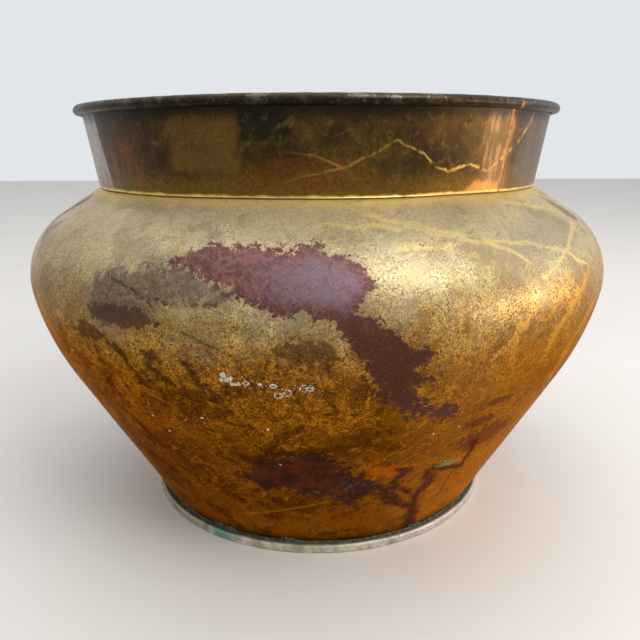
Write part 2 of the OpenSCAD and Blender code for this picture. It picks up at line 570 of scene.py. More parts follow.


# ---- stains drawn one by one
# Outlines as (azimuth, height in millimetres)
STAINS = {
    "main_stain": [(-22, 192), (-20, 197), (-17, 200), (-13, 201), (-8, 200), (-4, 199), (0, 201),
                   (4, 198), (7, 192), (8, 185), (6, 175), (8, 168), (12, 160), (17, 151),
                   (14, 144), (17, 137), (14, 131), (16, 124), (20, 118), (24, 114), (21, 109),
                   (16, 113), (13, 119), (10, 127), (9, 135), (7, 144), (5, 153), (4, 163),
                   (1, 170), (-2, 172), (-6, 173), (-9, 177), (-11, 180), (-15, 186), (-18, 190)],
    "left_stain": [(-35, 186), (-29, 189), (-25, 193), (-19, 194), (-15, 188), (-9, 181),
                   (-12, 175), (-16, 173), (-21, 174), (-24, 167), (-28, 159), (-33, 158),
                   (-36, 165), (-37, 177)],
    "foot_stain": [(-18, 66), (-14, 77), (-9, 87), (-3, 91), (2, 87), (6, 74), (11, 66), (12, 55),
                   (9, 42), (5, 50), (-3, 55), (-9, 60)]}


def inside_depth(places, outline):
    """Signed depth in millimetres of each (azimuth, height) place inside a closed outline."""
    spots = np.array(places)
    x = spots[:, 0] * DEGREE
    y = spots[:, 1] / MM
    depth = np.full(len(spots), 1e9)
    inside = np.zeros(len(spots), dtype=bool)
    for i, (start_azimuth, y0) in enumerate(outline):
        end_azimuth, y1 = outline[(i + 1) % len(outline)]
        x0 = start_azimuth * DEGREE
        x1 = end_azimuth * DEGREE
        run = (x1 - x0) ** 2 + (y1 - y0) ** 2
        share = np.clip(((x - x0) * (x1 - x0) + (y - y0) * (y1 - y0)) / run, 0, 1)
        gap = np.hypot(x - x0 - share * (x1 - x0), y - y0 - share * (y1 - y0))
        depth = np.minimum(depth, gap)
        if y0 != y1:
            crosses = (y0 > y) != (y1 > y)
            inside ^= crosses & (x < (x1 - x0) * (y - y0) / (y1 - y0) + x0)
    return np.where(inside, depth, -depth)


# ---- materials
def low_flank(net):
    """1 on the lower flank, 0 above the belly."""
    return net.z.ease(172, 138)


def dull_film(net, broad, mottle, worn):
    """A film of tarnish, khaki above and rusty below, worn through to brass. Film and brass are
    also painted darker and warmer low down, as a painted reflection of a warm floor. Gives the
    brass.
    """
    uneven = broad.off(60) + mottle.off(42)
    level = net.math("DIVIDE", net.z + uneven, 230, clamp=True)
    # Tarnish tones by height; the darker, warmer low end is partly a painted reflection of a warm
    # floor
    film_and_floor_reflection = net.ramp(level, (0.0, (176, 112, 20)), (0.12, (150, 92, 15)), (0.26, (126, 78, 13)),
                    (0.42, (116, 70, 12)), (0.58, (114, 70, 18)), (0.68, (126, 90, 38)),
                    (0.78, (160, 142, 102)), (0.87, (184, 168, 132)), (1.0, (200, 180, 136)))
    brass = net.ramp(level, (0.0, (190, 124, 24)), (0.2, (172, 110, 18)), (0.42, (180, 116, 22)),
                     (0.6, (184, 124, 32)), (0.7, (196, 154, 76)), (0.8, (214, 190, 134)),
                     (0.9, (220, 202, 154)), (1.0, (228, 204, 148)))
    share = net.z.ease(30, 80).blend(0.4, 0.85) * net.z.ease(165, 200).blend(1.0, 0.72)
    net.tone = net.mix(worn * share, film_and_floor_reflection, brass)
    return brass


def clouds(net, mottle, fleck, grain):
    """Clouds of darker brown below and of grey above, with blots and a dark belt on the flank."""
    low = low_flank(net)
    cloud = (net.noise(27, 5, 0.68, 0.83) + fleck.off(0.25)).ease(0.5, 0.62)
    cloud_tone = net.mix(low, (132, 116, 90), (66, 32, 12))
    net.coat(cloud_tone, cloud, low.blend(0.45, 0.62))
    blot = net.noise(13, 6, 0.72, 6.2, twist=0.6) + grain.off(0.1)
    blot = blot.ease(0.53, 0.6) * net.z.band(30, 150, 16)
    net.coat((58, 28, 12), blot, 0.62)
    belt = (net.z + mottle.off(26)).band(66, 98, 10)
    net.coat((56, 26, 10), belt * (grain + mottle.off(0.8)).ease(0.42, 0.6), 0.5)
    amber = net.noise(7, 5, 0.7, 8.4, twist=0.8)
    amber = amber.ease(0.56, 0.64) * net.z.band(30, 150, 16)
    net.coat((204, 132, 34), amber, 0.55)


def wisps(net, brass, mottle, fleck):
    """Bright wisps that cross the flank on the right, a painted orange floor reflection low on the
    right, dark runs on the left, and scratches.
    """
    low = low_flank(net)
    wisp = net.streaks(58, 26, 3.2, 0.3).ease(0.54, 0.66) * net.azimuth.band(21, 120, 14)
    net.coat(brass, wisp, 0.42)
    sway = mottle.off(8) + fleck.off(4)
    right_wisps = net.veins(sway,
        (5.0, [(52, 180), (45, 165), (41, 150), (40, 133)], "height"),
        (4.0, [(34, 170), (31, 157), (28, 142)], "height"),
        (5.0, [(55, 158), (51, 143), (49, 129), (49, 112)], "height"))
    net.coat((222, 172, 74), right_wisps, 0.5)
    # Painted reflection: an orange glow of the floor low on the right flank
    net.coat((226, 150, 56), net.z.ease(120, 60) * net.azimuth.band(31, 84, 14), 0.38)
    run = net.streaks(-72, 40, 2.6, 4.1).ease(0.56, 0.66) * low * net.azimuth.band(-120, -3, 9)
    net.coat((62, 32, 14), run, 0.55)
    net.coat((70, 46, 26), net.streaks(20, 30, 1.6, 7.7).ease(0.62, 0.7), 0.35)
    upper_flank = net.z.band(40, 160, 16)
    hatched = net.most(net.streaks(38, 34, 0.9, 9.3).ease(0.6, 0.68),
                       net.streaks(-28, 30, 0.9, 2.7).ease(0.62, 0.7))
    net.coat((206, 142, 52), hatched * upper_flank, 0.5)
    dark_thread = net.threads(26, 0.02, 1.9) * mottle.ease(0.44, 0.56)
    net.coat((56, 28, 14), dark_thread, low.blend(0.2, 0.6))


def local_tones(net, mottle):
    """Single patches of other tones: olive, orange, a brown one; and painted light: warm bands on
    both flanks, a pale reflection high on the left and a grey one on the right shoulder.
    """
    net.coat((132, 116, 50), net.patch(-16, 164, 7, 6, mottle.off(2.4)), 0.45)
    orange = net.most(net.patch(13, 73, 4.5, 6, mottle.off(2.6)),
                      net.patch(4, 60, 3.5, 5, mottle.off(2.6)))
    net.coat((206, 112, 14), orange, 0.6)
    # Painted warm light and floor reflection: lighter, warmer bands on the right and left flanks
    net.coat((214, 156, 84), net.azimuth.band(18, 58, 8) * net.z.band(6, 152, 14), 0.24)
    net.coat((222, 146, 60), net.azimuth.band(-90, -50, 9) * net.z.band(24, 150, 14), 0.26)
    # Painted reflection of a pale wall high on the left side of the body
    painted_side_reflection = net.azimuth.band(-90, -56, 7) * net.z.band(172, 212, 12)
    net.coat((226, 216, 202), painted_side_reflection, 0.34)
    net.coat((92, 56, 20), net.patch(-45, 171, 8, 13, mottle.off(1.6), 0.6), 0.36)
    # Grey patch on the right shoulder: the painted cool tone of a window's reflection
    net.coat((146, 138, 130), net.patch(43, 197, 11, 9, mottle.off(1.4), 0.6), 0.42)


def purple_stains(net, mottle, fleck, grain):
    """The purple stains of the front, drawn one by one. Gives their cover."""
    ragged = mottle.off(13) + fleck.off(19)
    wiry = ragged * net.z.ease(130, 160).blend(1.8, 1.0)
    main = net.dithered(net.field("main_stain") + wiry, -2.8, 3.0, grain)
    left = net.dithered(net.field("left_stain") + ragged * 1.2, -9.0, 13.0, grain)
    foot = net.dithered(net.field("foot_stain") + ragged * 1.5, -2.5, 3.0, grain)
    tail = (net.z + mottle.off(20)).ease(184, 164)
    stain_tone = net.mix(tail, (122, 74, 76), (62, 26, 22))
    stain_tone = net.mix(fleck.ease(0.42, 0.6) * 0.65, stain_tone, (54, 24, 34))
    stain_tone = net.mix(grain.ease(0.56, 0.66) * tail.blend(0.5, 0.15), stain_tone, (158, 108, 76))
    # Painted reflection of a window: a smooth blue-grey in the heart of the main stain
    heart_reflection = net.field("main_stain").ease(1.0, 9.0) * net.z.ease(168, 182)
    heart_reflection = heart_reflection * net.azimuth.ease(-12, 0)
    stain_tone = net.mix(heart_reflection * 0.6, stain_tone, (120, 106, 122))
    left_tone = net.mix(fleck.ease(0.42, 0.56), (108, 88, 86), (58, 36, 48))
    net.coat(left_tone, left, 0.7)
    foot_tone = net.mix(mottle.ease(0.36, 0.62), (76, 28, 10), (24, 8, 6))
    net.coat(foot_tone, foot, 0.9)
    net.coat(stain_tone, main, 0.95)
    dark_patch = net.most(net.patch(-29.5, 166, 6.5, 5.5, ragged * 0.11, 0.25),
                          net.patch(-37.5, 154, 3.5, 5, ragged * 0.16, 0.3))
    dark_patch = net.dithered(dark_patch, 0.0, 0.9, grain)
    net.coat((58, 30, 32), dark_patch, 0.76)
    far_patch = net.most(net.patch(37, 84, 8, 9, ragged * 0.14, 0.35),
                         net.patch(31, 100, 3, 4, ragged * 0.14, 0.35),
                         net.patch(33, 113, 3, 2.5, ragged * 0.14, 0.35))
    far_patch = net.dithered(far_patch, 0.0, 0.9, grain)
    net.coat((76, 52, 62), far_patch, 0.65)
    mid_patch = net.most(net.patch(-1, 153, 5, 7, ragged * 0.15, 0.5),
                         net.patch(-19, 127, 6, 4, ragged * 0.15, 0.5))
    mid_patch = net.dithered(mid_patch, 0.0, 1.2, grain)
    net.coat((52, 26, 14), mid_patch, 0.6)
    return net.most(main, left * 0.7, foot * 0.4)


def back_blotches(net, fleck, grain):
    """Blotches of the same tarnish all round the back. Gives their cover."""
    behind = abs(net.azimuth).ease(48, 72)
    blotch = net.noise(44, 5, 0.62, 2.3) + grain.off(0.12)
    blotch = net.dithered(blotch, 0.545, 0.6, grain) * behind
    blotch_tone = net.mix(fleck.ease(0.42, 0.6), (92, 50, 44), (54, 26, 30))
    net.coat(blotch_tone, blotch, 0.8)
    return blotch * 0.8


def body_veins(net, mottle, fleck):
    """Pale gold veins over the shoulder, and dark cracks and runs below."""
    waver = mottle.off(7) + fleck.off(1.5)
    veins = net.veins(waver,
        (1.9, [(5, 216), (13, 210), (19, 206), (27, 200), (32, 193), (35, 187)]),
        (1.6, [(0, 208), (9, 208), (17, 206), (22, 202)]),
        (1.8, [(23, 201), (35, 197), (42, 193), (48, 186), (52, 180)]),
        (1.4, [(12, 199), (23, 199)]),
        (1.8, [(38, 217), (50, 211), (58, 208)]),
        (1.8, [(36, 181), (44, 188), (52, 196), (58, 201)]))
    faded = net.noise(8, 3, 0.6, 0.66).ease(0.28, 0.48)
    net.coat((232, 206, 130), veins * faded, 0.62)
    dark_veins = net.veins(waver,
        (9.5, [(29, 6), (27, 23), (25, 31), (20, 38), (17, 46), (15, 53)], "height"),
        (6.6, [(5, 62), (8, 61), (11, 61), (14, 57), (17, 52)]),
        (4.2, [(15, 55), (18, 55), (23, 46)]),
        (6.5, [(18, 54), (17, 61), (18, 68), (18, 73)], "height"),
        (6.5, [(25, 31), (25, 43), (26, 49), (26, 57), (25, 68)], "height"),
        (3.6, [(25, 68), (30, 63), (36, 60)]),
        (5.0, [(35, 59), (35, 68), (33, 84)], "height"),
        (5.0, [(-2, 58), (3, 54), (5, 51), (8, 45), (10, 40)]))
    vein_tone = net.mix(fleck.ease(0.5, 0.62), (56, 34, 38), (84, 76, 84))
    net.coat(vein_tone, dark_veins, 0.85)
    crack = net.vein([(33, 34), (33, 45), (33, 58)], 1.3, mottle.off(2), "height")
    net.coat((60, 34, 14), crack, 0.6)
    hairs = net.veins(waver,
        (1.5, [(-33, 184), (-28, 180), (-24, 174), (-21, 171)]),
        (1.5, [(-20, 163), (-13, 153)]),
        (1.5, [(-24, 176), (-19, 174), (-14, 175), (-10, 180)]))
    net.coat((52, 30, 26), hairs, fleck.ease(0.42, 0.56).blend(0.1, 0.7))
    thin_runs = net.veins(waver,
        (3.2, [(-33, 152), (-30, 142), (-28, 132), (-27, 126)], "height"),
        (3.2, [(-25, 150), (-25, 141), (-23, 131)], "height"),
        (3.2, [(-19, 147), (-18, 139), (-17, 131)], "height"),
        (3.2, [(-38, 104), (-37, 96), (-35, 86), (-32, 78)], "height"))
    net.coat((48, 26, 20), thin_runs, 0.8)
    scratch = net.vein([(-20, 29), (-7, 40), (2, 48)], 1.4, mottle.off(2))
    net.coat((206, 140, 50), scratch, 0.4)


def body_edges(net, mottle):
    """A painted gold highlight on the shoulder under the crease, and green above the foot."""
    # Painted highlight: a gold band along the top of the shoulder, under the crease
    net.coat((240, 206, 112), (net.z + mottle.off(5)).ease(213.5, 217.5), 0.6)
    teal = net.noise(34, 3, 0.6, 5.1).ease(0.5, 0.58) * (net.z + mottle.off(4)).ease(8.5, 6.5)
    teal = net.most(teal, (net.z + mottle.off(5)).ease(9.5, 7) * net.azimuth.band(-54, -30, 4))
    net.coat((38, 84, 68), teal, 0.7)
    net.coat((140, 158, 120), net.patch(29, 67, 3.4, 2.2, mottle.off(2.0), 0.3), 0.6)


def leather_grain(net, mottle, grain, patchy):
    """Dark pits and creases like those of leather. Gives the cover of both."""
    pits = (grain + patchy.off(-0.4)).ease(0.46, 0.34)
    net.coat((46, 22, 8), pits, net.z.ease(150, 205).blend(0.45, 0.2))
    leather = net.cells(2.3, 0.2, "DISTANCE_TO_EDGE")
    creases = leather.ease(0.1, 0.02) * patchy.ease(0.4, 0.56)
    net.coat((58, 30, 14), creases, net.z.ease(165, 205).blend(0.42, 0.15))
    net.coat((30, 16, 8), net.cells(4.2, 0.9).ease(0.12, 0.06), mottle.ease(0.45, 0.6))
    return pits, creases


def body_patina():
    """Outside of the body."""
    net = Net("body_patina")
    broad = net.noise(46, 4, 0.6)
    mottle = net.noise(11, 5, 0.62, 0.31)
    fleck = net.noise(3.2, 4, 0.7, 0.12)
    grain = net.noise(1.1, 3, 0.65, 0.57)
    patchy = net.noise(19, 5, 0.66, 1.4, twist=0.8)
    worn = (grain + fleck.off(0.7) + patchy.off(1)).ease(0.42, 0.64)
    brass = dull_film(net, broad, mottle, worn)
    clouds(net, mottle, fleck, grain)
    wisps(net, brass, mottle, fleck)
    local_tones(net, mottle)
    stain = purple_stains(net, mottle, fleck, grain)
    stain = net.most(stain, back_blotches(net, fleck, grain))
    body_veins(net, mottle, fleck)
    body_edges(net, mottle)
    pits, creases = leather_grain(net, mottle, grain, patchy)

    roughness = mottle.blend(0.34, 0.5) + pits * 0.12
    roughness = (worn * 0.5).blend(roughness, 0.3)
    roughness = stain.blend(roughness, 0.48)
    metallic = net.z.ease(130, 190).blend(0.95, 0.6)
    metallic = stain.blend(metallic, 0.45)
    # Specular tint warmer low down: a painted warm floor reflection on the lower body
    edge = net.mix(net.z.ease(130, 185), (226, 176, 120), (246, 234, 218))
    return net.finish(roughness, metallic, (0.16, broad), (0.07, fleck), (0.07, grain),
                      (-0.04, creases), Specular_Tint=edge)


def neck_blocks(net, mottle, fleck, wander):
    """The upright blocks of other tones round the front of the collar, and a painted reflection
    of a pale wall at its left end.
    """
    ochre = net.block((-29, -14.5), (232, 261), 1.0, wander)
    green_dark = net.block((-14, -5), (247, 264), 0.6, mottle.off(3))
    rust = net.block((-54, -38), (222, 256), 1.6, wander)
    purple = net.block((-38, -31), (228, 264), 1.2, wander)
    right_end = (net.azimuth + wander).band(49, 84, 4)
    wiped = net.noise(5, 5, 0.7, 5.3, 0.22)
    rust = rust * wiped.ease(0.4, 0.62).blend(0.15, 1.0)
    rust = rust * (net.z + wander).ease(256, 236).blend(0.3, 1.0)
    ochre = ochre * fleck.ease(0.38, 0.58).blend(0.3, 1.0)
    purple = purple * wiped.ease(0.34, 0.56).blend(0.3, 1.0)
    # Painted reflection of a pale wall at the collar's left end, broken up by the wiped noise
    lean = (net.z - 240) * 0.05
    painted_wall_reflection = (net.azimuth + lean).ease(-53.5, -54.5) * (net.azimuth + wander).ease(-84, -68)
    painted_wall_reflection = painted_wall_reflection * wiped.ease(0.36, 0.54).blend(0.55, 1.0)
    net.coat((124, 92, 38), ochre, 0.55)
    net.coat((124, 66, 14), rust, 0.85)
    net.coat((142, 126, 104), right_end, 0.5)
    net.coat((208, 200, 190), painted_wall_reflection, 0.78)
    net.coat((44, 28, 24), purple, 0.6)
    net.coat((24, 24, 12), green_dark, 0.75)


def neck_film(net, mottle, fleck, wander):
    """Ochre above the toe, and fine dark and olive spots."""
    net.coat((136, 102, 28), (net.z + wander).ease(236, 219), 0.5)
    net.coat((112, 62, 12), net.patch(-2, 231, 12, 8, mottle.off(2.6), 0.5), 0.55)
    net.coat((30, 20, 8), fleck.ease(0.46, 0.62), 0.35)
    net.coat((122, 96, 38), net.noise(5, 5, 0.7, 7.1).ease(0.54, 0.66), 0.3)
    net.coat((158, 132, 84), net.noise(1.1, 3, 0.6, 3.1, 0.12).ease(0.64, 0.7), 0.15)


def neck_veins(net, mottle, fleck, wander):
    """The pale zig-zag vein, copper on the right, and a painted orange glint by the seam."""
    waver = mottle.off(4) + fleck.off(1.5)
    veins = net.veins(waver,
        (1.1, [(-6, 242), (0, 240), (5, 234), (10, 240), (15, 247), (21, 240), (24, 234),
               (27, 232), (32, 235), (38, 231)]),
        (2.4, [(38, 231), (44, 240), (49, 251), (52, 262)], "height"),
        (1.0, [(-10, 224), (-3, 230), (5, 234)]),
        (3.0, [(-10, 244), (-8, 250), (-5, 256), (-2, 262)], "height"))
    faded = net.noise(7, 3, 0.6, 0.5).ease(0.34, 0.56) * net.azimuth.band(7, 90, 23)
    net.coat((204, 164, 76), veins * faded, 0.6)
    copper = net.block((36, 45), (219, 262), 2.5, wander)
    net.coat((160, 126, 84), copper, 0.2)
    copper = copper * net.noise(3, 4, 0.6, 2.2, 0.1).ease(0.46, 0.62)
    net.coat((190, 150, 108), copper, 0.3)
    # Painted glint: an orange highlight at the foot of the copper seam
    net.coat((226, 160, 84), net.patch(38, 222, 5, 4, mottle.off(2.2)), 0.4)


def neck_patina():
    """Outside of the collar: dark bronze, painted darker still as a reflection of a dark room,
    with a pale zig-zag vein.
    """
    net = Net("neck_patina")
    broad = net.noise(34, 4, 0.6, 0.2)
    mottle = net.noise(9, 5, 0.62, 0.71)
    fleck = net.noise(2.0, 4, 0.7, 0.33)
    grain = net.noise(0.8, 3, 0.6)
    wander = mottle.off(7)
    # Dark bronze tones, made darker as a painted reflection of a dark room
    net.tone = net.ramp(broad * 0.5 + mottle * 0.5, (0.32, (34, 25, 9)), (0.46, (52, 38, 12)),
                        (0.56, (74, 55, 18)), (0.7, (100, 76, 30)))
    net.coat((60, 36, 24), net.noise(4, 4, 0.6, 0.6, 0.15).ease(0.55, 0.7), 0.4)
    neck_blocks(net, mottle, fleck, wander)
    neck_film(net, mottle, fleck, wander)
    neck_veins(net, mottle, fleck, wander)

    # Darker just under the bead, grime and painted shade, and clear gold on the toe, rubbed and
    # painted as a highlight
    net.coat((20, 15, 9), (net.z + mottle.off(12)).ease(255, 262), 0.85)
    # Gold on the toe: rubbed brass, and a painted highlight line along the crease
    toe_wear_and_highlight = (net.z + mottle.off(3)).ease(221.4, 219.6)
    net.coat((240, 208, 116), toe_wear_and_highlight, 0.85)

    net.coat((34, 22, 10), grain.ease(0.55, 0.68), 0.45)
    return net.finish(mottle.blend(0.28, 0.46), 0.85, (0.08, broad), (0.05, fleck), (0.04, grain))


def rim_patina():
    """The rolled rim: worn grey-brown on top, red-brown below, and painted shade below."""
    net = Net("rim_patina")
    mottle = net.noise(6, 5, 0.62, 0.4)
    fleck = net.noise(1.6, 4, 0.7, 0.9)
    # Darker underside of the bead: red-brown tarnish and painted shade under the curl
    underside_tone_and_shade = (net.z + mottle.off(3)).ease(267, 264.6)
    net.tone = net.mix(underside_tone_and_shade, (60, 52, 38), (28, 18, 10))
    net.coat((74, 54, 36), mottle.ease(0.5, 0.64), 0.5)
    net.coat((150, 124, 84), fleck.ease(0.58, 0.7), 0.25)
    net.coat((24, 18, 12), net.noise(3, 4, 0.7, 1.7).ease(0.56, 0.66), 0.7)
    worn = (net.noise(12, 4, 0.7, 4.4) + fleck.off(0.6)).ease(0.54, 0.66)
    net.coat((126, 118, 104), worn, underside_tone_and_shade.blend(0.55, 0.1))
    return net.finish(mottle.blend(0.26, 0.48), 0.85, (0.10, mottle), (0.05, fleck))


def inside_brass():
    """Inside of the pot: dull brown brass with tide marks of lime and soil."""
    net = Net("inside_brass")
    broad = net.noise(40, 5, 0.6, 0.5)
    mottle = net.noise(8, 5, 0.65, 1.1)
    fleck = net.noise(1.8, 4, 0.7)
    net.tone = net.ramp(broad * 0.55 + mottle * 0.45, (0.32, (72, 52, 30)), (0.46, (118, 88, 48)),
                        (0.56, (150, 114, 62)), (0.68, (176, 142, 88)))
    uneven = net.z + mottle.off(26)
    net.coat((58, 42, 30), uneven.ease(150, 40), 0.65)
    ragged = net.z + (broad.off(30) + fleck.off(10))
    tide = net.most(ragged.band(180, 186, 4), ragged.band(62, 70, 5))
    net.coat((158, 146, 122), tide, fleck.ease(0.4, 0.62).blend(0.08, 0.5))
    net.coat((96, 120, 98), net.noise(16, 5, 0.7, 3.3).ease(0.62, 0.72), 0.5)
    net.coat((48, 34, 22), net.noise(6, 4, 0.6, 0.9, 0.12).ease(0.56, 0.7), 0.4)
    return net.finish(mottle.blend(0.5, 0.78), 0.6, (0.10, mottle), (0.08, fleck))


def foot_patina():
    """The folded foot and the underside: grey-tan tinned look with a blue-green bloom. Painted
    shade darkens its left side and its top edge by the crevice.
    """
    net = Net("foot_patina")
    broad = net.noise(26, 4, 0.6, 0.15)
    mottle = net.noise(6, 5, 0.65, 0.95)
    fleck = net.noise(1.3, 4, 0.7)
    net.tone = net.ramp(mottle, (0.34, (150, 142, 118)), (0.5, (190, 184, 162)),
                        (0.66, (214, 210, 196)))
    net.coat((190, 180, 190), (net.azimuth + broad.off(60)).ease(10, 34), 0.6)
    # Painted shade: the left side of the foot darker
    net.coat((132, 130, 104), net.azimuth.band(-130, -34, 12), 0.5)
    net.coat((142, 170, 156), net.noise(15, 5, 0.7, 2.1).ease(0.52, 0.64), 0.4)
    teal = net.patch(-30, 3, 3.5, 5, mottle.off(1.6) + fleck.off(1.6), 0.5)
    net.coat((74, 150, 130), teal, 0.8)
    net.coat((128, 104, 70), net.noise(9, 5, 0.7, 1.6).ease(0.56, 0.66), 0.5)
    # Painted crevice shade: darker along the fold's top edge, where it meets the flank
    net.coat((60, 52, 38), net.z.ease(5.0, 5.9), 0.5)
    net.coat((54, 44, 32), fleck.ease(0.56, 0.68), 0.5)
    return net.finish(mottle.blend(0.42, 0.66), 0.6, (0.12, mottle), (0.08, fleck))


def mottled(name, sizes, stops, shift):
    """A material with a mottle of colours and a finer fleck. Gives them too."""
    net = Net(name)
    mottle = net.noise(sizes[0], 5, sizes[1])
    fleck = net.noise(sizes[2], 3, sizes[3], shift)
    net.tone = net.ramp(mottle, *stops)
    return net, mottle, fleck


def braze_metal():
    """Coppery brazing metal, dulled."""
    stops = (0.32, (92, 56, 26)), (0.52, (158, 106, 52)), (0.7, (184, 134, 76))
    net, mottle, fleck = mottled("braze_metal", (4, 0.65, 0.9, 0.6), stops, 0.4)
    net.coat((66, 38, 22), fleck.ease(0.56, 0.66), 0.6)
    return net.finish(mottle.blend(0.3, 0.52), 0.85, (0.12, mottle), (0.06, fleck))


def rusty_wire():
    """Iron wire in the rim, rusted where it shows."""
    stops = (0.34, (44, 34, 30)), (0.52, (92, 54, 36)), (0.68, (134, 78, 44))
    net, mottle, fleck = mottled("rusty_wire", (3, 0.7, 0.7, 0.6), stops, 0.2)
    return net.finish(fleck.blend(0.6, 0.9), 0.3, (0.15, mottle), (0.08, fleck))


def soft_solder():
    """Dull grey solder with a little green at its edges."""
    stops = (0.34, (84, 82, 76)), (0.54, (128, 126, 118)), (0.72, (150, 150, 140))
    net, mottle, fleck = mottled("soft_solder", (5, 0.6, 1.2, 0.6), stops, 0.7)
    net.coat((98, 120, 98), net.noise(9, 4, 0.7, 1.9).ease(0.56, 0.68), 0.5)
    return net.finish(mottle.blend(0.42, 0.68), 0.7, (0.15, mottle), (0.05, fleck))


def crust(name, dark, middle, light):
    """Dry mineral crust."""
    stops = (0.32, dark), (0.50, middle), (0.66, light)
    net, mottle, fleck = mottled(name, (1.6, 0.7, 0.5, 0.7), stops, 0.5)
    return net.finish(fleck.blend(0.75, 0.95), 0.0, (0.12, mottle), (0.08, fleck))


# ---- sheet pieces
def make_body(outside, inside):
    """Flank, belly and shoulder in one piece, with the lap inside the collar and the flange."""
    outline, seen = ribbon(body_line(), 2)
    pick = [0 if i < seen else 1 for i in range(len(outline))]

    def place(spot, i, azimuth):
        return warp(spot, 1.0)

    piece, places = spun("body", outline, SPOKES, [outside, inside], pick, place)
    for name, stain in STAINS.items():
        field = piece.data.attributes.new(name, "FLOAT", "POINT")
        field.data.foreach_set("value", inside_depth(places, stain))
    mount(piece, "body_brass", "body_shell")


def make_collar(outside, inside, rim):
    """Flared strip with its two ends at the seam, its toe turned out and its top curled."""
    line = collar_line()
    outline, seen = ribbon(line)
    curl_start = len(line) - len(arc(CURL_C, CURL_R, 0, CURL_TURN, 0.5 * MM))
    toe_end = 5  # the points of the toe that the hammer has left uneven
    pick = [0] * seen + [2 if i > curl_start else 1 for i in reversed(range(seen))]

    def place(spot, i, azimuth):
        moved = warp(spot)
        if on_line(i, seen) > curl_start:
            nick = 0.10 * MM * noise.noise(spot * 140)
            moved += turn_to(azimuth) * nick + up(nick)
        if on_line(i, seen) <= toe_end:
            moved += up(0.12 * MM * noise.noise(spot * 60))
        return moved

    half_gap = math.degrees(SEAM_W / 2 / COLLAR_R)
    piece, _ = spun("collar", outline, SPOKES, [outside, inside, rim], pick, place,
                    SEAM_AZ + half_gap, 360 - 2 * half_gap)
    mount(piece, "collar_brass", "neck_collar")


def make_collar_seam(metal):
    """Brazing run up the collar's joint, a little proud, with wandering edges."""
    line = collar_line()
    columns = (-1.0, -0.7, 0.0, 0.7, 1.0)
    proud = (-0.05 * MM, 0.10 * MM, 0.16 * MM, 0.10 * MM, -0.05 * MM)
    vertices = []
    loops = []
    for column, lift in zip(columns, proud):
        outline = beside(line, -HALF - lift) + beside(line, HALF + lift)[::-1]
        loop = []
        for point in outline:
            spread = 1 + 0.35 * noise.noise(Vector((point.x * 120, point.y * 120, 7 + column)))
            half_width = math.degrees((SEAM_W / 2 + 0.35 * MM) / point.x) * spread
            loop.append(len(vertices))
            vertices.append(warp(at(SEAM_AZ + column * half_width, point)))
        loops.append(loop)
    faces = []
    rows = len(loops[0])
    for near, far in zip(loops, loops[1:]):
        for i in range(rows):
            k = (i + 1) % rows
            faces.append((near[i], far[i], far[k], near[k]))
    half = rows // 2
    for loop, order in ((loops[0], 1), (loops[-1], -1)):
        for i in range(half - 1):
            face = (loop[i], loop[i + 1], loop[rows - 2 - i], loop[rows - 1 - i])
            faces.append(face[::order])
    piece = new_object("collar_seam_run", vertices, faces, [metal])
    tidy_mesh(piece)
    mount(piece, "brazing_metal", "collar_seam")


def make_wire(metal):
    """Iron wire inside the rim."""
    piece, _ = spun("wire", arc(CURL_C, WIRE_R, 0, 340, 0.6 * MM), 360, [metal])
    mount(piece, "iron_wire", "rim_wire")


def make_lap_braze(metal):
    """Fillet of brazing metal on top of the lap, inside the collar."""
    leg = LAYER - 0.04 * MM
    heel = LAP_TOP - HALF * WALL_OUT
    toe = heel + leg * WALL_OUT
    crest = toe + leg * WALL_UP + Vector((0, leg * 0.2))
    hollow = heel + leg * (WALL_OUT + WALL_UP) * 0.45
    outline = [heel, toe, crest, hollow]

    def place(spot, i, azimuth):
        way = turn_to(azimuth)
        moved = warp(spot)
        if i >= 2:
            swell = noise.noise(way * 9) + 0.6 * noise.noise(way * 38)
            moved += up(0.5 * MM * swell) - way * 0.15 * MM * swell
        return moved

    piece, _ = spun("lap_braze", outline, SPOKES, [metal], place=place)
    mount(piece, "brazing_metal", "collar_braze")


def make_base(outside, inside):
    """Base disc, set up off the floor in the middle, and folded up over the body's flange."""
    line = base_line()
    outline, seen = ribbon(line)
    fold_start = next(i for i, p in enumerate(line) if p.x > FOLD_X - 0.01 * MM)

    def place(spot, i, azimuth):
        way = turn_to(azimuth)
        moved = warp(spot)
        if on_line(i, seen) >= fold_start:
            moved += way * 0.14 * MM * noise.noise(way * 11)
            rise = min(1.0, spot.z / SEAM_TOP_Z)
            moved += up(0.22 * MM * rise * noise.noise(way * 17))
        return moved

    pick = [0] * seen + [1] * seen
    piece, _ = spun("base", outline, SPOKES, [outside, inside], pick, place)
    mount(piece, "base_brass", "base_plate")


def make_solder(metal):
    """Solder run between the base and the flank, inside."""
    bend = arc(WALL_BEND_C, WALL_BEND + HALF + 0.02 * MM, 255, 180 - FLANK_LEAN)
    low = SHEET + 0.02 * MM
    top = bend[-1] + SOLDER_H * FLANK_UP
    toe = Vector((WALL_BEND_C.x - WALL_BEND - HALF - SOLDER_W, low))
    outline = [Vector((bend[0].x, low))] + bend + between(bend[-1], top, 1 * MM) + [top]
    outline += [top.lerp(toe, 0.25), top.lerp(toe, 0.5), top.lerp(toe, 0.75), toe]
    free = range(len(outline) - 5, len(outline) - 1)

    def place(spot, i, azimuth):
        way = turn_to(azimuth)
        moved = warp(spot)
        if i in free:
            swell = noise.noise(way * 7) + 0.7 * noise.noise(way * 29)
            moved += (up(0.4 * MM) - way * 0.5 * MM) * swell
        return moved

    piece, _ = spun("solder_run", outline, SPOKES, [metal], place=place)
    mount(piece, "soft_solder", "base_solder")


# ---- crusts on the outside
BODY_OUTSIDE = beside(body_line(), -HALF)


